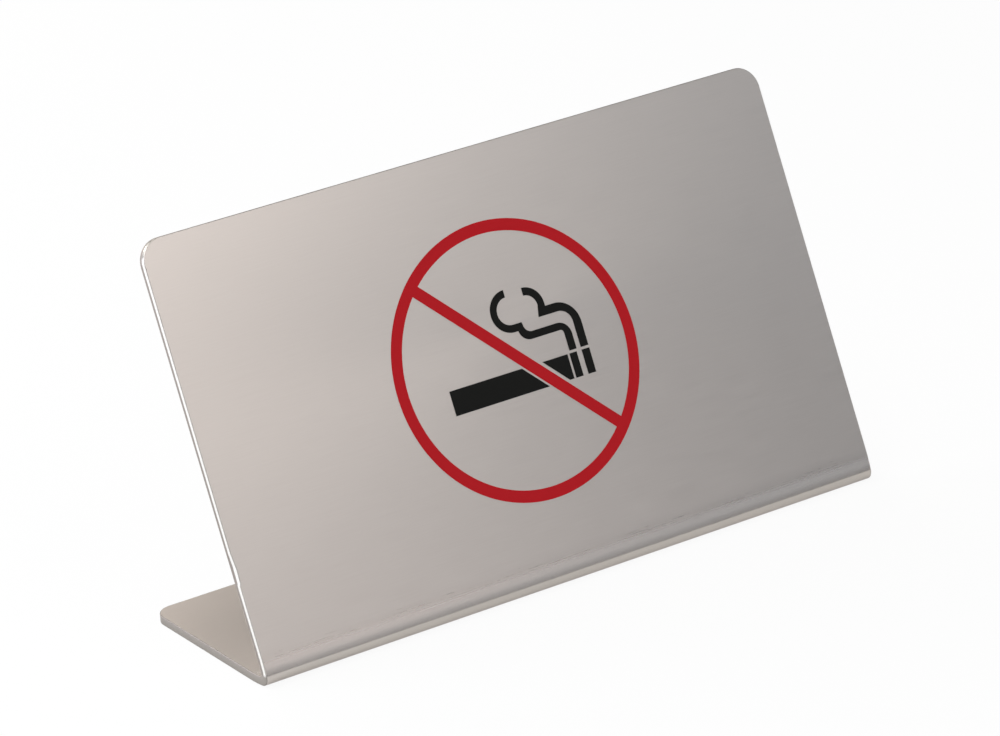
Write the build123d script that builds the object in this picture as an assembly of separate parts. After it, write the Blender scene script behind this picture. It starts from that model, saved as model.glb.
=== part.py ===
"""A free-standing no smoking sign: one steel sheet, folded once, with a printed symbol.

The sheet stands on its foot. Its panel leans back over the foot, so the inside of the
fold is a wedge. The symbol lies on the front of the panel as two thin fields of ink, one
red and one black.
"""
from build123d import *

import os
from math import acos, cos, degrees, radians, sin, tan

# Lengths are in millimetres and angles in degrees.

# The folded sheet
plate_width = 120.0  # along the fold
sheet = 1.5  # thickness of the steel
panel_height = 73.2  # up the slope, from the outer corner of the fold to the top edge
foot_depth = 35.3  # from the same corner to the back edge
lean = 24.5  # how far the panel leans back from upright
bend_inside_radius = 0.4  # in the middle of the fold
ease_inside_radius = 6.5  # on both sides of it, where the sheet eases into its flats
ease_turn = 9.5  # how much of the fold each of those two takes
panel_corner_radius = 4.0  # the two top corners
foot_corner_radius = 3.0  # the two at the back of the foot
edge_break = 0.12  # what deburring took off each cut edge

# The printed symbol's middle is the ring's centre, which lies close to the middle of the
# flat part of the panel. Its sizes run from that centre, right and up the slope.
symbol_right = -0.2
symbol_up = -0.7
ink = 0.05  # thickness of the dried ink

# The red ring and its slash, which falls to the right and passes just above the centre
ring_diameter = 46.25
ring_band = 2.0
slash_width = 1.97
slash_fall = 45.0
slash_above_centre = 0.54
bare_below_slash = 0.33  # bare steel between the slash and the cigarette
bare_above_slash = 0.56

# The black cigarette, and the two short bars at its lit end
cigarette_left = -13.72
cigarette_length = 23.19
cigarette_thickness = 4.11
cigarette_up = -3.62  # height of its middle line
near_bar_gap = 0.42
near_bar = 1.41
far_bar_gap = 1.01
far_bar = 1.51

# Smoke rises from each bar in a curl. It starts as a stem, after a strip of bare steel,
# and the heights of its level runs are those of their undersides, above the stem's start.
smoke_gap = 0.44
near_stem_shift = 0.17  # the near stem stands a little right of its bar
near_band = 1.25
near_run = 3.64
near_step = 1.86  # from the low run up to the high one, round on both sides
near_elbow_outside = 2.3
near_elbow_inside = 0.62
step_outside = 2.1
step_outside_right = 3.93
step_inside = 1.4
step_inside_right = 4.36
near_heel_right = 2.83  # the sharp end of the high run
near_loop_radius = 3.54  # the half turn at the end
near_loop_right = 1.2

far_band = 1.46
far_run = 6.67
far_elbow_outside = 4.15
far_elbow_inside = 2.3
far_heel_right = 6.25  # the sharp end of the run
far_loop_radius = 3.42  # the quarter turn at the end
far_loop_band = 1.31
far_loop_right = 4.6
far_loop_up = 1.95  # its centre, above the run's underside

across = sin(radians(lean))
upright = cos(radians(lean))
half_fold = tan(radians(90 - lean) / 2)
bend_turn = 90 + lean - 2 * ease_turn
bend_outside_radius = bend_inside_radius + sheet
ease_outside_radius = ease_inside_radius + sheet
# Easing sets the bend's axis deeper, and makes the fold take more of each leg.
ease_depth = (ease_outside_radius - bend_outside_radius) * (1 - cos(radians(ease_turn)))
ease_length = (ease_outside_radius - bend_outside_radius) * sin(radians(ease_turn))
flat_start = (bend_outside_radius + ease_depth) / half_fold + ease_length
cigarette_top = cigarette_up + cigarette_thickness / 2
smoke_start = cigarette_top + smoke_gap
near_bar_left = cigarette_left + cigarette_length + near_bar_gap
far_bar_left = near_bar_left + near_bar + far_bar_gap

# Where an arc starts on its circle, and how far it runs
at_right, at_top, at_left, at_bottom = 0, 90, 180, 270
quarter_turn, half_turn = 90, 180


def is_as_long_as(length):
    """A test for edges of one length."""
    return lambda edge: abs(edge.length - length) < sheet / 1000


def skin(depth):
    """The sheet seen end on, as one line at a depth below its outer skin: up from the foot."""
    panel_top = Vector(across, upright) * panel_height + Vector(upright, -across) * depth
    foot = Line((foot_depth, depth), (flat_start, depth))
    ease_in = JernArc(foot @ 1, foot % 1, ease_outside_radius - depth, -ease_turn)
    bend = JernArc(ease_in @ 1, ease_in % 1, bend_outside_radius - depth, -bend_turn)
    ease_out = JernArc(bend @ 1, bend % 1, ease_outside_radius - depth, -ease_turn)
    panel = Line(ease_out @ 1, panel_top)
    return [foot, ease_in, bend, ease_out, panel]


def folded_plate():
    """The sheet, with the outer corner of its fold on the X axis and its foot along +Y."""
    outside, inside = skin(0), skin(sheet)
    foot_end = Line(inside[0] @ 0, outside[0] @ 0)
    panel_end = Line(outside[-1] @ 1, inside[-1] @ 1)
    section = make_face([*outside, panel_end, *inside, foot_end])
    plate = extrude(Plane.YZ * section, plate_width / 2, both=True)
    corners = plate.edges().filter_by(is_as_long_as(sheet))
    plate = fillet(corners - corners.filter_by(Axis.Z), panel_corner_radius)
    plate = fillet(plate.edges().filter_by(Axis.Z), foot_corner_radius)
    fold_lines = plate.edges().filter_by(is_as_long_as(plate_width))
    lines_through_sheet = plate.edges().filter_by(is_as_long_as(sheet))
    return fillet(plate.edges() - fold_lines - lines_through_sheet, edge_break)


def upright_bar(left, bottom, width, height):
    """A rectangle set by its lower left corner."""
    return Pos(left, bottom) * Rectangle(width, height, align=(Align.MIN, Align.MIN))


def slash_strip(below, above):
    """A strip along the slash, wider than it by the two margins, from ring to ring."""
    strip = Rectangle(ring_diameter, slash_width + below + above)
    shift = slash_above_centre + (above - below) / 2
    return Rot(Z=-slash_fall) * Pos(0, shift) * strip


def red_symbol():
    """The ring, and the slash that joins it at both ends."""
    disc = Circle(ring_diameter / 2)
    ring = disc - Circle(ring_diameter / 2 - ring_band)
    return ring + (slash_strip(0, 0) & disc)


def cigarette():
    """The cigarette, which the slash parts in two, and the bars of its lit end."""
    bottom = cigarette_top - cigarette_thickness
    body = upright_bar(cigarette_left, bottom, cigarette_length, cigarette_thickness)
    near = upright_bar(near_bar_left, bottom, near_bar, cigarette_thickness)
    far = upright_bar(far_bar_left, bottom, far_bar, cigarette_thickness)
    return body - slash_strip(bare_below_slash, bare_above_slash) + near + far


def ends(station):
    """Where an outline reaches a point or an arc, and where it leaves it."""
    if isinstance(station, Edge):
        return station @ 0, station @ 1
    return Vector(station), Vector(station)


def outlined(*stations):
    """A face whose outline takes in each point and arc in turn, joined by straight lines."""
    edges = [station for station in stations if isinstance(station, Edge)]
    for station, following in zip(stations, stations[1:] + stations[:1]):
        start, end = ends(station)[1], ends(following)[0]
        if (end - start).length > ink / 100:
            edges.append(Line(start, end))
    return make_face(edges)


def elbow(right, top, radius, start, turn):
    """A quarter turn at the upper right of its circle, whose box has this corner."""
    return CenterArc((right - radius, top - radius), radius, start, turn)


def near_curl():
    """Up the stem, left at the elbow, a round step up, and half a turn back to the right."""
    stem_left = near_bar_left + near_stem_shift
    stem_right = stem_left + near_bar
    low = smoke_start + near_run
    low_top = low + near_band
    high = low + near_step
    loop = (near_loop_right, high + near_loop_radius)
    step_turn = degrees(acos(1 - near_step / step_outside))
    return outlined(
        (stem_left, smoke_start),
        elbow(stem_left, low, near_elbow_inside, at_right, quarter_turn),
        CenterArc((step_outside_right, low + step_outside), step_outside, at_bottom, -step_turn),
        CenterArc(loop, near_loop_radius, at_bottom, -half_turn),
        CenterArc(loop, near_loop_radius - near_band, at_top, half_turn),
        (near_heel_right, high + near_band),
        CenterArc((step_inside_right, low_top + step_inside), step_inside, at_left, quarter_turn),
        elbow(stem_right, low_top, near_elbow_outside, at_top, -quarter_turn),
        (stem_right, smoke_start),
    )


def far_curl():
    """Up the stem, left at the elbow to a sharp heel, and a quarter turn back to the left."""
    stem_right = far_bar_left + far_bar
    run = smoke_start + far_run
    run_top = run + far_band
    loop = (far_loop_right, run + far_loop_up)
    return outlined(
        (far_bar_left, smoke_start),
        elbow(far_bar_left, run, far_elbow_inside, at_right, quarter_turn),
        (far_heel_right, run),
        CenterArc(loop, far_loop_radius - far_loop_band, at_right, quarter_turn),
        CenterArc(loop, far_loop_radius, at_top, -quarter_turn),
        (far_loop_right + far_loop_radius, run_top),
        elbow(stem_right, run_top, far_elbow_outside, at_top, -quarter_turn),
        (stem_right, smoke_start),
    )


def printed(field):
    """A field of ink, laid on the front of the panel with its origin on the ring's centre."""
    height = (flat_start + panel_height) / 2 + symbol_up
    centre = (symbol_right, height * across, height * upright)
    panel_front = Plane(origin=centre, x_dir=(1, 0, 0), z_dir=(0, -upright, across))
    return extrude(panel_front * field, ink, dir=panel_front.z_dir)


plate = folded_plate()
shapes = {
    "sign_plate": plate,
    "red_print": printed(red_symbol()),
    "black_print": printed(cigarette() + near_curl() + far_curl()),
}
# The part's origin is on the surface it stands on, under the middle of its box.
to_middle = Pos(0, -plate.bounding_box().center().Y, 0)

os.makedirs("parts", exist_ok=True)
for node, shape in shapes.items():
    export_step(to_middle * shape, f"parts/{node}.step")
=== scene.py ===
# %% [markdown]
# # A no smoking sign, folded from one sheet of satin steel
#
# The sign is one stainless steel sheet, folded once into a foot and a leaning panel, with a
# symbol printed on the panel in red and black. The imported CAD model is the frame: it holds
# the true sizes, and everything here is in metres in the same frame, so nothing is fitted.
# The two prints stay as the CAD made them and only get their inks. The sheet is modelled
# again, as one clean mesh, because its cut edges, its nick and its finish need faces and
# coordinates that a CAD export doesn't carry.

# %% Load the frame
from math import atan2, cos, pi, radians, sin, tan

import bmesh
import bpy
from mathutils import Matrix, Vector


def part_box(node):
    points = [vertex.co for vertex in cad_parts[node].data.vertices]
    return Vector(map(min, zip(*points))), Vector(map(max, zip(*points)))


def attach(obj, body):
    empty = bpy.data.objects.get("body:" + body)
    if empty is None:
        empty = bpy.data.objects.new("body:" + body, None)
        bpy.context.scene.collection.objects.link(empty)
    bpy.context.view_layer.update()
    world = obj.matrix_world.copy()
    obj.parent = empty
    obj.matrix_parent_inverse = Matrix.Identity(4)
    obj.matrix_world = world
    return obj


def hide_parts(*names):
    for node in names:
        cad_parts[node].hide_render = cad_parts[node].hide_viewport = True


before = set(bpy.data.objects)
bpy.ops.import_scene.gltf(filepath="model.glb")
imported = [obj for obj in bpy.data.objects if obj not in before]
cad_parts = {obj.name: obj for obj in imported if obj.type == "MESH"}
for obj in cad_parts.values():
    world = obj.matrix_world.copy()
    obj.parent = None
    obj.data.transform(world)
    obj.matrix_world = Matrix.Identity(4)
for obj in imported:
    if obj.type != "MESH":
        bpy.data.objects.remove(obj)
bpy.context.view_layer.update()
plate_low, plate_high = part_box("sign_plate")
print("CAD nodes:", sorted(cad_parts))
print("plate from", plate_low, "to", plate_high)

# %% [markdown]
# ## The sizes of the sheet
#
# A folded sheet is set by a handful of sizes: how thick it is, how far the panel leans, how
# tight the bend is, and how long each leg runs from the outer corner of the fold. The width
# and the place come from the CAD box. The press pushes the sheet down between two rails, so
# the bend isn't one arc: it is tight in the middle, and eases into both flats on a wide
# radius. It takes up some of both legs, so each flat starts a little way from the corner.

# %% Sizes of the sheet
mm = 0.001
sheet = 1.5 * mm
lean = radians(24.5)
panel_height = 73.2 * mm
foot_depth = 35.3 * mm
bend_radius = 1.65 * mm
ease_radius = 24 * mm
ease_turn = radians(8)
panel_corner_radius = 4 * mm
foot_corner_radius = 3 * mm
edge_break = 0.12 * mm

plate_width = plate_high.x - plate_low.x
bend_turn = pi / 2 + lean - 2 * ease_turn
bend_depth = bend_radius + (ease_radius - bend_radius) * (1 - cos(ease_turn))
bend_start = bend_depth / tan((pi / 2 - lean) / 2)
flat_start = bend_start + (ease_radius - bend_radius) * sin(ease_turn)
fold_corner = Vector((0, plate_high.y - foot_depth, 0))
up_slope = Vector((0, sin(lean), cos(lean)))
panel_outward = Vector((0, -cos(lean), sin(lean)))


def on_panel(right, up):
    """The point on the front of the panel this far right, and up the slope from the fold."""
    return fold_corner + Vector((right, 0, 0)) + up_slope * up


# Each arc of the fold, from the foot to the panel: its axis, outside radius and turn.
foot_ease = fold_corner + Vector((0, flat_start, ease_radius)), ease_radius, ease_turn
bend = fold_corner + Vector((0, bend_start, bend_depth)), bend_radius, bend_turn
panel_ease = on_panel(0, flat_start) - panel_outward * ease_radius, ease_radius, ease_turn
arcs = [foot_ease, bend, panel_ease]
print(f"the fold takes {flat_start / mm:.2f} mm of each leg")

# %% [markdown]
# ## The camera
#
# A long lens stands well back, so the sign shows almost without perspective. The camera is
# turned to the left of the sign, looks down on it and is tipped a little to one side. It is
# placed by those three angles and by the point of the panel that it looks at, which is
# easier to change than a bare position.

# %% Camera
camera_azimuth = radians(-33.58)
camera_elevation = radians(22.8)
camera_tip = radians(3.21)
camera_distance = 900.7 * mm
looked_at = on_panel(-3.62 * mm, 37.55 * mm)

camera_data = bpy.data.cameras.new("camera")
camera_data.sensor_width = 36
camera_data.lens = 201.6
camera_data.clip_start = 10 * mm
camera = bpy.data.objects.new("camera", camera_data)
bpy.context.scene.collection.objects.link(camera)
camera_turn = (
    Matrix.Rotation(camera_azimuth, 4, "Z")
    @ Matrix.Rotation(pi / 2 - camera_elevation, 4, "X")
    @ Matrix.Rotation(-camera_tip, 4, "Z")
)
towards_camera = (camera_turn @ Vector((0, 0, 1))).normalized()
camera.matrix_world = Matrix.Translation(looked_at + towards_camera * camera_distance) @ camera_turn
bpy.context.scene.camera = camera
print("camera at", camera.matrix_world.translation)

# %% [markdown]
# ## Working by hand, in code
#
# Blender's operators act on whatever is selected. The loaded CAD nodes are selected, and so
# is every new primitive, so everything is deselected first. In edit mode a small function
# then picks edges or faces by where they are.

# %% Selecting
def deselect_everything():
    bpy.ops.object.select_all(action="DESELECT")
    bpy.context.view_layer.objects.active = None


def pick(piece, kind, test):
    """Select only the vertices, edges or faces whose middle passes the test."""
    bpy.ops.mesh.select_mode(type={"verts": "VERT", "edges": "EDGE", "faces": "FACE"}[kind])
    bpy.ops.mesh.select_all(action="DESELECT")
    mesh = bmesh.from_edit_mesh(piece.data)
    picked = 0
    for element in getattr(mesh, kind):
        corners = [element] if kind == "verts" else element.verts
        if test(sum((corner.co for corner in corners), Vector()) / len(corners)):
            element.select_set(True)
            picked += 1
    mesh.select_flush_mode()
    bmesh.update_edit_mesh(piece.data)
    print(f"picked {picked} {kind} of {piece.name}")


nearly = 0.01 * mm

# %% [markdown]
# ## The outer skin of the sheet
#
# The real sign starts as a flat blank that a press folds over a straight tool. It could be
# modelled as a box with a bend modifier, but the thickness would suffer at the bend. So only
# the outer skin is drawn first: a plane for the foot, spun about the axis of each arc in
# turn, and then pulled straight up the slope. That is the path of the fold itself, and it
# keeps the arcs true.

# %% Foot
deselect_everything()
foot_length = foot_depth - flat_start
bpy.ops.mesh.primitive_plane_add(size=1, location=(0, plate_high.y - foot_length / 2, 0))
plate = bpy.context.object
plate.name = "folded_plate"
plate.scale = (plate_width, foot_length, 1)
bpy.ops.object.transform_apply(location=True, rotation=True, scale=True)
print(f"foot flat for {foot_length / mm:.2f} mm")

# %% Bend and panel
ease_steps = 10
bend_steps = 32
bpy.ops.object.mode_set(mode="EDIT")
pick(plate, "edges", lambda middle: abs(middle.y - foot_ease[0].y) < nearly)
for (axis, radius, turn), steps in zip(arcs, (ease_steps, bend_steps, ease_steps)):
    bpy.ops.mesh.spin(steps=steps, angle=turn, center=axis, axis=(1, 0, 0))
flat_length = panel_height - flat_start
bpy.ops.mesh.extrude_region_move(TRANSFORM_OT_translate={"value": up_slope * flat_length})
print(f"panel flat for {flat_length / mm:.2f} mm")

# %% [markdown]
# ## The rounded corners
#
# The four free corners are cut round, so that nobody scratches a hand on them, and those of
# the panel a little rounder than those of the foot. A Boolean could cut them off the finished
# sheet, but leaves long thin faces. While the sheet is still a skin, bevelling only their
# vertices gives a true quarter circle, because each corner is square in its own leg's plane.

# %% Corners
corner_steps = 12
top_line = on_panel(0, panel_height)
for radius, is_on_end in (
    (panel_corner_radius, lambda place: (place - top_line).dot(up_slope) > -nearly),
    (foot_corner_radius, lambda place: abs(place.y - plate_high.y) < nearly and place.z < nearly),
):
    pick(plate, "verts", is_on_end)
    bpy.ops.mesh.bevel(offset=radius, segments=corner_steps, profile=0.5, affect="VERTICES")

# %% [markdown]
# ## The thickness
#
# The skin is the outside of the fold, so the steel grows inwards from it. Solidify does
# that evenly, also round the bend, and gives the cut edges the second material. The skin has
# to face outwards first, and a look at the panel's own normal says whether it does.

# %% Thickness
bpy.ops.mesh.select_all(action="SELECT")
bpy.ops.mesh.remove_doubles(threshold=nearly)
bpy.ops.mesh.normals_make_consistent(inside=False)
bpy.ops.object.mode_set(mode="OBJECT")
panel_face = max(plate.data.polygons, key=lambda face: face.center.z)
if panel_face.normal.dot(panel_outward) < 0:
    plate.data.flip_normals()

solidify = plate.modifiers.new("sheet", "SOLIDIFY")
solidify.thickness = sheet
solidify.offset = -1
solidify.use_even_offset = True
solidify.material_offset_rim = 1
for name in ("satin face", "cut edge", "broken edge"):
    plate.data.materials.append(bpy.data.materials.new(name))
bpy.ops.object.modifier_apply(modifier=solidify.name)
print("faces with thickness:", len(plate.data.polygons))

# %% [markdown]
# ## The nick
#
# Something hard has struck the front of the panel's left edge, low down. It could be
# sculpted, but that needs a dense mesh for a dent of a quarter of a millimetre. So the cut
# face is parted by a few planes across it. Then the points on its front line are pushed in,
# each by its own amount, and the back line stays.

# %% Nick
nick = (  # how far up the panel, and how far in
    (17.3 * mm, 0),
    (17.8 * mm, 0.21 * mm),
    (18.7 * mm, 0.24 * mm),
    (20.0 * mm, 0.28 * mm),
    (21.4 * mm, 0.14 * mm),
    (22.8 * mm, 0),
)
left = -plate_width / 2
bpy.ops.object.mode_set(mode="EDIT")
for up, inwards in nick:
    pick(plate, "faces", lambda middle: abs(middle.x - left) < nearly and middle.z > bend[0].z)
    bpy.ops.mesh.bisect(plane_co=on_panel(left, up), plane_no=up_slope)
for up, inwards in nick:
    pick(plate, "verts", lambda place: (place - on_panel(left, up)).length < nearly)
    bpy.ops.transform.translate(value=(inwards, 0, 0))
bpy.ops.object.mode_set(mode="OBJECT")

# %% [markdown]
# ## Broken edges
#
# A sheared edge is sharp, and the maker takes the sharpness off with a file or a drum of
# stones. That leaves a hair-thin round on every edge, which catches light as a fine line. A
# Bevel modifier that works on sharp angles alone leaves the smooth bend as it is. The borders
# of those rounds are then marked sharp, so that smooth shading doesn't run over them and the
# flats stay flat up to them.

# %% Broken edges
broken_edge_slot = 2
bpy.ops.object.shade_smooth()
bevel = plate.modifiers.new("broken edges", "BEVEL")
bevel.width = edge_break
bevel.segments = 3
bevel.limit_method = "ANGLE"
bevel.angle_limit = radians(50)
bevel.material = broken_edge_slot
bpy.ops.object.modifier_apply(modifier=bevel.name)
bpy.ops.object.mode_set(mode="EDIT")
bpy.ops.mesh.select_mode(type="FACE")
bpy.ops.mesh.select_all(action="DESELECT")
plate.active_material_index = broken_edge_slot
bpy.ops.object.material_slot_select()
bpy.ops.mesh.region_to_loop()
bpy.ops.mesh.mark_sharp()
bpy.ops.object.mode_set(mode="OBJECT")
print("faces with broken edges:", len(plate.data.polygons))

# %% [markdown]
# ## Coordinates that follow the sheet
#
# The grain was in the steel before it was folded. Unwrapping the mesh would lay it out flat,
# but at a size and a turn of its own. Here each point's place is worked out instead: the UV
# map holds it across and along the unrolled blank, in metres, and runs through the bend
# without a seam. A second value says how deep a point lies below the outer skin, which the
# cut edges need, because shears leave them in two bands.

# %% Unrolled coordinates
def place_on_blank(point):
    """How far along the unrolled sheet a point is, and how deep below its outer skin."""
    if point.z < sheet + nearly and point.y > foot_ease[0].y - nearly:
        return foot_ease[0].y - point.y, point.z
    on_slope = point - on_panel(0, flat_start)
    if on_slope.dot(up_slope) > -nearly:
        skin_length = sum(radius * turn for axis, radius, turn in arcs)
        return skin_length + on_slope.dot(up_slope), -on_slope.dot(panel_outward)
    along, turned_before, places = 0, 0, []
    for axis, radius, turn in arcs:
        arm = (point - axis).yz
        turned = (atan2(-arm.x, -arm.y) - turned_before + pi / 2) % (2 * pi) - pi / 2
        on_arc = min(max(turned, 0), turn)
        depth = radius - arm.length
        strays = abs(turned - on_arc) * arm.length + max(depth - sheet, 0)
        places.append((strays, along + radius * on_arc, depth))
        along += radius * turn
        turned_before += turn
    return min(places)[1:]


mesh = plate.data
on_blank = [place_on_blank(vertex.co) for vertex in mesh.vertices]
unrolled = mesh.uv_layers[0]
unrolled.name = "unrolled"
for loop in mesh.loops:
    along = on_blank[loop.vertex_index][0]
    unrolled.data[loop.index].uv = (mesh.vertices[loop.vertex_index].co.x, along)
depth = mesh.attributes.new("depth", "FLOAT", "POINT")
depth.data.foreach_set("value", [into / sheet for along, into in on_blank])
reach = [along for along, into in on_blank]
print(f"the outer skin of the blank is {(max(reach) - min(reach)) / mm:.2f} mm long")

# %% [markdown]
# ## Materials
#
# Each material starts from what the real one is. Colours are written as the sRGB hex values
# that a colour picker shows, and one function turns them into the linear values that the
# shaders need. A second one adds a node with its settings and what feeds it.

# %% Helpers for materials
def linear(hex_colour):
    """An sRGB colour such as #B01E26 as linear red, green, blue and alpha."""
    levels = [int(hex_colour[i:i + 2], 16) / 255 for i in (1, 3, 5)]
    return [x / 12.92 if x <= 0.04045 else ((x + 0.055) / 1.055) ** 2.4 for x in levels] + [1]


def add_node(tree, kind, inputs=(), **settings):
    """Add a node of a kind, with its settings, and its inputs as plain values or links."""
    node = tree.nodes.new(kind)
    for name, value in settings.items():
        setattr(node, name, value)
    for socket, value in dict(inputs).items():
        if isinstance(value, bpy.types.NodeSocket):
            tree.links.new(value, node.inputs[socket])
        else:
            node.inputs[socket].default_value = value
    return node


def start_material(material):
    """Empty a material's nodes and give it a Principled shader. Returns the tree and shader."""
    material.use_nodes = True
    tree = material.node_tree
    tree.nodes.clear()
    shader = add_node(tree, "ShaderNodeBsdfPrincipled")
    add_node(tree, "ShaderNodeOutputMaterial", {"Surface": shader.outputs["BSDF"]})
    return tree, shader


# %% [markdown]
# ### Satin stainless steel
#
# The faces of the sheet are stainless steel, ground with a fine belt and then brushed to a
# satin. That scatters a reflection so widely that the panel mirrors no shapes, only how
# light the room is in each direction. The grain itself is a few hundredths of a millimetre
# wide, far too fine for the picture, so it is drawn about 0.2 mm wide, and faint. It could
# be an image of brushed steel, but noise stretched along the blank has no seam and no edge.

# %% Satin steel
satin = plate.data.materials[0]
satin.name = "satin_stainless_steel"
tree, steel = start_material(satin)
steel.inputs["Metallic"].default_value = 1
steel.inputs["Anisotropic"].default_value = 0.2

grain_width = 0.2 * mm
grain_length = 9 * mm
blank = add_node(tree, "ShaderNodeUVMap", uv_map="unrolled").outputs["UV"]
combed = add_node(tree, "ShaderNodeMapping", {
    "Vector": blank,
    "Scale": (1 / grain_length, 1 / grain_width, 1),
}).outputs["Vector"]
grain = add_node(tree, "ShaderNodeTexNoise", {
    "Vector": combed,
    "Scale": 1,
    "Detail": 3,
    "Roughness": 0.6,
}).outputs["Fac"]
print(f"{satin.name}: {plate_width / grain_length:.0f} lengths of grain lie across the sign")

# %% [markdown]
# The press has burnished the sheet at the fold. A mask could be painted there by hand, but
# it wouldn't follow when the fold gets another radius. So the mask is worked out from how
# far a point lies along the blank from the middle of the bend.

# %% Burnished fold
bend_from = ease_radius * ease_turn  # where the tight part of the fold lies on the blank
bend_to = bend_from + bend_radius * bend_turn
bend_middle = (bend_from + bend_to) / 2
bend_half = bend_to - bend_middle
burnished_to = bend_half + 4 * mm
along_blank = add_node(tree, "ShaderNodeSeparateXYZ", {"Vector": blank}).outputs["Y"]
past_middle = add_node(tree, "ShaderNodeMath", {
    0: along_blank,
    1: bend_middle,
}, operation="SUBTRACT").outputs["Value"]
from_middle = add_node(tree, "ShaderNodeMath", {0: past_middle}, operation="ABSOLUTE").outputs["Value"]
burnished = add_node(tree, "ShaderNodeMapRange", {
    "Value": from_middle,
    "From Min": burnished_to,
    "From Max": bend_half + 1 * mm,
}).outputs["Result"]
print(f"the bend lies from {bend_from / mm:.2f} to {bend_to / mm:.2f} mm along the blank")

# %% [markdown]
# The grain shows in two ways: it makes the gloss a little uneven, and its ridges tilt the
# surface. At the fold the steel is smoother, and the ridges fade towards it.

# %% Gloss and ridges
grain_roughness = add_node(tree, "ShaderNodeMapRange", {
    "Value": grain,
    "From Min": 0.3,
    "From Max": 0.7,
    "To Min": 0.28,
    "To Max": 0.34,
}).outputs["Result"]
roughness = add_node(tree, "ShaderNodeMix", {
    "Factor": burnished,
    "A": grain_roughness,
    "B": 0.25,
}).outputs["Result"]
tree.links.new(roughness, steel.inputs["Roughness"])

ridge_strength = 0.15
ridges_left = add_node(tree, "ShaderNodeMapRange", {
    "Value": from_middle,
    "From Min": burnished_to,
    "From Max": bend_half + 9 * mm,
    "To Min": 0,
    "To Max": ridge_strength,
}).outputs["Result"]
ridges = add_node(tree, "ShaderNodeBump", {
    "Height": grain,
    "Strength": ridges_left,
    "Distance": 0.002 * mm,
}).outputs["Normal"]
tree.links.new(ridges, steel.inputs["Normal"])

# %% [markdown]
# Grit has left a few pale flecks in the finish. A Voronoi pattern parts the blank into
# cells, and the small core of each cell is a fleck. How pale it is comes from the cell's
# random colour, so most hardly show.

# %% Tone and flecks
fleck_spacing = 14 * mm
fleck_spacing_up = 40 * mm
fleck_core = 0.013  # as a share of the spacing
fleck_cells = add_node(tree, "ShaderNodeMapping", {
    "Vector": blank,
    "Scale": (1 / fleck_spacing, 1 / fleck_spacing_up, 1),
}).outputs["Vector"]
cells = add_node(tree, "ShaderNodeTexVoronoi", {"Vector": fleck_cells, "Scale": 1}).outputs
core = add_node(tree, "ShaderNodeMath", {
    0: cells["Distance"],
    1: fleck_core,
}, operation="LESS_THAN").outputs["Value"]
paleness = add_node(tree, "ShaderNodeSeparateXYZ", {"Vector": cells["Color"]}).outputs["X"]
fleck = add_node(tree, "ShaderNodeMath", {0: core, 1: paleness}, operation="MULTIPLY").outputs["Value"]
tone = add_node(tree, "ShaderNodeMix", {
    "Factor": grain,
    "A": linear("#C9C0BA"),
    "B": linear("#D0C8C2"),
}, data_type="RGBA").outputs["Result"]
flecked = add_node(tree, "ShaderNodeMix", {
    "Factor": fleck,
    "A": tone,
    "B": linear("#E2DCD6"),
}, data_type="RGBA").outputs["Result"]
tree.links.new(flecked, steel.inputs["Base Color"])
print(satin.name, "has", len(tree.nodes), "nodes")

# %% [markdown]
# ### The cut edges
#
# Shears cut a sheet in two stages. The blade first slides down the metal and polishes it,
# and then the rest tears. So the straight sides of the panel have a bright band at the front
# and a dull, rough one at the back. The two could be faces of their own, but then their
# border would be a ruled line. The depth that was stored above tells them apart, and a
# little noise frays the border.

# %% Cut edges
cut = plate.data.materials[1]
cut.name = "sheared_steel_edge"
tree, edge = start_material(cut)
edge.inputs["Metallic"].default_value = 1

torn_from = 0.5  # how deep the blade cut, as a share of the thickness
torn_fade = 0.1
fray = 0.1
into_sheet = add_node(tree, "ShaderNodeAttribute", attribute_name="depth").outputs["Fac"]
place = add_node(tree, "ShaderNodeTexCoord").outputs["Object"]
ragged = add_node(tree, "ShaderNodeTexNoise", {
    "Vector": place,
    "Scale": 1 / (0.8 * mm),
    "Detail": 2,
}).outputs["Fac"]
frayed_depth = add_node(tree, "ShaderNodeMath", {
    0: ragged,
    1: fray,
    2: into_sheet,
}, operation="MULTIPLY_ADD").outputs["Value"]
torn = add_node(tree, "ShaderNodeMapRange", {
    "Value": frayed_depth,
    "From Min": torn_from,
    "From Max": torn_from + torn_fade,
}).outputs["Result"]
print(f"{cut.name}: the blade cut about {torn_from * sheet / mm:.2f} mm deep")

# %% [markdown]
# A second tool nibbled the corners round, and the press handled the foot and the fold, so the edge
# there is dull all through. The colour there also holds painted shade: the foot and the fold are
# darkened for the shaded floor close by, which they mirror, and the round corners are darkened too, in
# place of a dimmer reflection. Two small functions find those places, because the next finish asks for
# them too.

# %% Handled and shaded places
press_fade = 0.3 * mm  # to each side of the line where the bend ends on the panel's side


def foot_and_fold_share(tree):
    """How far a point lies on the foot and bend: 1 there, 0 on the panel."""
    blank = add_node(tree, "ShaderNodeUVMap", uv_map="unrolled").outputs["UV"]
    along_blank = add_node(tree, "ShaderNodeSeparateXYZ", {"Vector": blank}).outputs["Y"]
    return add_node(tree, "ShaderNodeMapRange", {
        "Value": along_blank,
        "From Min": bend_to + press_fade,
        "From Max": bend_to - press_fade,
    }).outputs["Result"]


def sideways_share(tree):
    """How squarely a face looks to the left or to the right, from 0 to 1."""
    facing = add_node(tree, "ShaderNodeNewGeometry").outputs["True Normal"]
    across = add_node(tree, "ShaderNodeSeparateXYZ", {"Vector": facing}).outputs["X"]
    return add_node(tree, "ShaderNodeMath", {0: across}, operation="ABSOLUTE").outputs["Value"]


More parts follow.
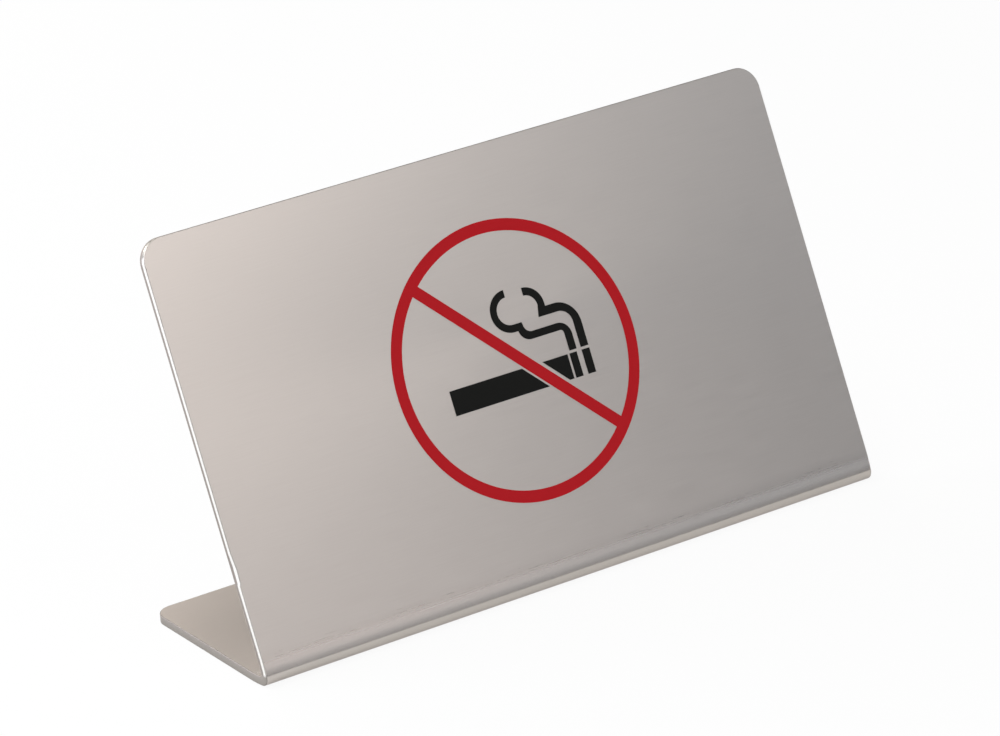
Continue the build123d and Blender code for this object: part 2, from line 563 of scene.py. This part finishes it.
to_side = sideways_share(tree)
# Faces that don't look squarely to a side, such as the round corners: dull, with painted shade in
# their colour.
nibbled_and_shaded = add_node(tree, "ShaderNodeMapRange", {
    "Value": to_side,
    "From Min": 0.75,
    "From Max": 0.5,
}).outputs["Result"]
# The foot, the fold and the faces that don't look to a side: dull, and darkened with painted shade.
handled_and_shaded = add_node(tree, "ShaderNodeMath", {
    0: nibbled_and_shaded,
    1: foot_and_fold_share(tree),
}, operation="MAXIMUM").outputs["Value"]
# Dull steel, which on the foot, the fold and the corners also holds painted shade.
dull_and_shaded = add_node(tree, "ShaderNodeMath", {0: torn, 1: handled_and_shaded}, operation="MAXIMUM").outputs["Value"]

# %% [markdown]
# Polished steel is near white, and dull steel is a mid grey. Where the edge was handled, it is a shade
# lighter at the back than at the front, which is painted shade: on the foot the front is the side that
# lies on the floor. Round the nibbled corners it is darkest, and that is painted shade too. The gloss
# follows the same mask.

# %% Tone and gloss of the edge
# Painted shade: darker at the front of the edge, which on the foot lies on the floor.
handled_tone_with_painted_shade = add_node(tree, "ShaderNodeMix", {
    "Factor": into_sheet,
    "A": linear("#97928C"),
    "B": linear("#A9A39E"),
}, data_type="RGBA").outputs["Result"]
dull_and_shaded_tone = add_node(tree, "ShaderNodeMix", {
    "Factor": handled_and_shaded,
    "A": linear("#9C9590"),
    "B": handled_tone_with_painted_shade,
}, data_type="RGBA").outputs["Result"]
off_straight = add_node(tree, "ShaderNodeMapRange", {
    "Value": to_side,
    "From Min": 0.05,
    "From Max": 0.25,
}).outputs["Result"]
# Painted shade, darkest round the corners.
painted_corner_shade = add_node(tree, "ShaderNodeMath", {
    0: nibbled_and_shaded,
    1: off_straight,
}, operation="MULTIPLY").outputs["Value"]
worked_and_shaded_tone = add_node(tree, "ShaderNodeMix", {
    "Factor": painted_corner_shade,
    "A": dull_and_shaded_tone,
    "B": linear("#78736E"),
}, data_type="RGBA").outputs["Result"]
edge_tone = add_node(tree, "ShaderNodeMix", {
    "Factor": dull_and_shaded,
    "A": linear("#FBFAF8"),
    "B": worked_and_shaded_tone,
}, data_type="RGBA").outputs["Result"]
edge_roughness = add_node(tree, "ShaderNodeMapRange", {
    "Value": dull_and_shaded,
    "To Min": 0.15,
    "To Max": 0.5,
}).outputs["Result"]
tree.links.new(edge_tone, edge.inputs["Base Color"])
tree.links.new(edge_roughness, edge.inputs["Roughness"])
print(cut.name, "has", len(tree.nodes), "nodes")

# %% [markdown]
# ### The broken edges
#
# The stones that took the sharpness off left the small rounds a little rougher than the faces, and
# they show as fine lines. One grey would do from afar. Close by, the rounds of the foot and the fold
# are darker than those of the panel, and the foot's back edge is darkest. That darkening is painted
# shade on the parts near the floor.

# %% Broken edges' finish
tumbled = plate.data.materials[2]
tumbled.name = "tumbled_steel"
tree, round_edge = start_material(tumbled)
round_edge.inputs["Metallic"].default_value = 1
round_edge.inputs["Roughness"].default_value = 0.45
# Painted shade on the rounds of the foot and the fold, darkest where a round doesn't face to a side.
painted_shade_tone = add_node(tree, "ShaderNodeMix", {
    "Factor": sideways_share(tree),
    "A": linear("#5E5A56"),
    "B": linear("#A29C96"),
}, data_type="RGBA").outputs["Result"]
round_tone = add_node(tree, "ShaderNodeMix", {
    "Factor": foot_and_fold_share(tree),
    "A": linear("#C6C0BA"),
    "B": painted_shade_tone,
}, data_type="RGBA").outputs["Result"]
tree.links.new(round_tone, round_edge.inputs["Base Color"])
print(tumbled.name, "has", len(tree.nodes), "nodes")

# %% [markdown]
# ### The inks
#
# The symbol is screen printed with an enamel ink that dries to a satin film. Enamel is a
# pigment in a clear binder, so it is a plain coloured surface with the gloss of a plastic.
# The mesh of the screen leaves a faint unevenness in the gloss and in the film.

# %% Inks
weave_spacing = 0.3 * mm


def print_with(node_name, ink_name, thin, thick):
    """Give a print its ink, which is of one colour where the film is thin, and one where thick."""
    ink = bpy.data.materials.new(ink_name)
    tree, enamel = start_material(ink)
    enamel.inputs["IOR"].default_value = 1.5
    enamel.inputs["Specular IOR Level"].default_value = 0.12
    place = add_node(tree, "ShaderNodeTexCoord").outputs["Object"]
    film = add_node(tree, "ShaderNodeTexNoise", {
        "Vector": place,
        "Scale": 1 / weave_spacing,
        "Detail": 2,
    }).outputs["Fac"]
    colour = add_node(tree, "ShaderNodeMix", {
        "Factor": film,
        "A": linear(thin),
        "B": linear(thick),
    }, data_type="RGBA").outputs["Result"]
    roughness = add_node(tree, "ShaderNodeMapRange", {
        "Value": film,
        "To Min": 0.42,
        "To Max": 0.55,
    }).outputs["Result"]
    dimples = add_node(tree, "ShaderNodeBump", {
        "Height": film,
        "Strength": 0.2,
        "Distance": 0.005 * mm,
    }).outputs["Normal"]
    tree.links.new(colour, enamel.inputs["Base Color"])
    tree.links.new(roughness, enamel.inputs["Roughness"])
    tree.links.new(dimples, enamel.inputs["Normal"])
    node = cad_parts[node_name]
    node.data.materials.clear()
    node.data.materials.append(ink)
    print(node_name, "is printed with", ink.name)


print_with("red_print", "red_enamel_ink", "#BB1620", "#B7121C")
print_with("black_print", "black_enamel_ink", "#121210", "#0E0E0C")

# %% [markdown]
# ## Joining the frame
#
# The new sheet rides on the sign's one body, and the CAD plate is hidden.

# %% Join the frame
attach(plate, "root")
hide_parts("sign_plate")

# %% [markdown]
# ## Floor and room
#
# The sign stands on a white table in front of a white wall. Satin steel has next to no
# colour of its own and shows the rest of the room, which is darker. The floor is a plain
# white paint that takes the sign's shadow. To the camera most of it is even white, and less
# so in the reflections, where the steel shows how the light falls off close to it. The room
# could be a photograph of a real one, but a few bands of light are enough: behind the sign
# one wide wall, and behind the camera a low one and a high one with a dark gap between them,
# which make the dark line at the fold and the slow change of tone above it.

# %% Floor
floor_width = 3
whiteness_seen = 0.93  # how much of the floor is even white to the camera
whiteness_mirrored = 0.27  # and in the reflections
deselect_everything()
bpy.ops.mesh.primitive_plane_add(size=floor_width, location=(0, 0, 0))
floor = bpy.context.object
floor.name = "floor"
white = bpy.data.materials.new("white_floor")
floor.data.materials.append(white)
tree, paint = start_material(white)
paint.inputs["Base Color"].default_value = linear("#F0F0F0")
paint.inputs["Roughness"].default_value = 0.8
rays = add_node(tree, "ShaderNodeLightPath").outputs
glow = add_node(tree, "ShaderNodeEmission", {"Color": linear("#FFFFFF"), "Strength": 1})
seen_share = add_node(tree, "ShaderNodeMath", {
    0: rays["Is Camera Ray"],
    1: whiteness_seen,
}, operation="MULTIPLY").outputs["Value"]
share = add_node(tree, "ShaderNodeMath", {
    0: rays["Is Glossy Ray"],
    1: whiteness_mirrored,
    2: seen_share,
}, operation="MULTIPLY_ADD").outputs["Value"]
lit_floor = add_node(tree, "ShaderNodeMixShader", {
    0: share,
    1: paint.outputs["BSDF"],
    2: glow.outputs["Emission"],
}).outputs["Shader"]
tree.links.new(lit_floor, tree.nodes["Material Output"].inputs["Surface"])
print(f"{floor.name} is {floor_width} m wide")

# %% Room
room = bpy.data.worlds.new("room")
bpy.context.scene.world = room
room.use_nodes = True
tree = room.node_tree
tree.nodes.clear()
direction = add_node(tree, "ShaderNodeTexCoord").outputs["Generated"]
parts = add_node(tree, "ShaderNodeSeparateXYZ", {"Vector": direction}).outputs
height_blur, side_blur = 0.01, 0.02  # half the width of the walls' soft borders


def above(height):
    """Whether a direction points above this height, given as the sine of its elevation."""
    return add_node(tree, "ShaderNodeMapRange", {
        "Value": parts["Z"],
        "From Min": height - height_blur,
        "From Max": height + height_blur,
    }).outputs["Result"]


def room_side(colour, *walls):
    """One side of the room: dark, with a wall of this colour between each pair of heights."""
    wall = 0
    for low, high in walls:
        for step, height in (("ADD", low), ("SUBTRACT", high)):
            wall = add_node(tree, "ShaderNodeMath", {0: wall, 1: above(height)}, operation=step)
            wall = wall.outputs["Value"]
    return add_node(tree, "ShaderNodeMix", {
        "Factor": wall,
        "A": linear("#000000"),
        "B": linear(colour),
    }, data_type="RGBA").outputs["Result"]


behind_sign = add_node(tree, "ShaderNodeMapRange", {
    "Value": parts["Y"],
    "From Min": -side_blur,
    "From Max": side_blur,
}).outputs["Result"]
low_wall, high_wall, wall_behind = (0.1, 0.2), (0.35, 0.6), (-0.1, 0.5)
room_tone = add_node(tree, "ShaderNodeMix", {
    "Factor": behind_sign,
    "A": room_side("#EEF6FE", low_wall, high_wall),
    "B": room_side("#CECCC9", wall_behind),
}, data_type="RGBA").outputs["Result"]
seen = add_node(tree, "ShaderNodeLightPath").outputs["Is Camera Ray"]
backdrop = add_node(tree, "ShaderNodeMix", {
    "Factor": seen,
    "A": room_tone,
    "B": linear("#FFFFFF"),
}, data_type="RGBA").outputs["Result"]
background = add_node(tree, "ShaderNodeBackground", {"Color": backdrop, "Strength": 1})
add_node(tree, "ShaderNodeOutputWorld", {"Surface": background.outputs["Background"]})
print(room.name, "has", len(tree.nodes), "nodes")

# %% [markdown]
# ## Lamps
#
# Soft lamps are large. Each could be moved about by hand until it looks right. Here it is
# placed by the direction it stands in, seen from the sign, and by how far off it is, and
# turned to face the sign. The two on the left and the one behind light the foot and the
# white table. The one in front is for the panel, and the three low strips are as thin as the
# light that falls in under a blind: the panel's lower half mirrors them.

# %% Lamps
lamp_spread = 0.7  # how wide a lamp is, as a share of its distance
strip_height = 60 * mm
far, near = 700 * mm, 450 * mm


def softbox(name, azimuth, elevation, distance, watts, colour, height=None):
    """A lamp. Azimuth 0 is straight in front of the sign, and grows to the right."""
    data = bpy.data.lights.new(name, "AREA")
    data.shape = "RECTANGLE"
    data.size = distance * lamp_spread
    data.size_y = height or data.size
    data.energy = watts
    data.color = linear(colour)[:3]
    lamp = bpy.data.objects.new(name, data)
    lamp.visible_camera = False
    bpy.context.scene.collection.objects.link(lamp)
    turn = Matrix.Rotation(azimuth, 4, "Z") @ Matrix.Rotation(pi / 2 - elevation, 4, "X")
    aim = on_panel(0, panel_height / 2)
    outward = (turn @ Vector((0, 0, 1))).normalized()
    lamp.matrix_world = Matrix.Translation(aim + outward * distance) @ turn
    print(name, "at", lamp.matrix_world.translation)


softbox("left softbox", radians(-120), radians(25), far, 3.65, "#F6F4FF")
softbox("high left softbox", radians(-90), radians(65), far, 2.41, "#F7FFF9")
softbox("back softbox", radians(180), radians(25), far, 1.66, "#FFF8F0")
softbox("face softbox", radians(10), radians(45), near, 0.42, "#FFF7EF")
softbox("low strip", radians(10), radians(9), near, 0.05, "#FFF4EE", strip_height)
softbox("high strip", radians(10), radians(20), near, 0.03, "#FFF9F5", strip_height)
softbox("right strip", radians(30), radians(14), near, 0.007, "#FFFFFF", strip_height)

# %% [markdown]
# ## Colours as they are
#
# The Standard view transform shows each colour as the materials give it.

# %% View settings
bpy.context.scene.view_settings.view_transform = "Standard"
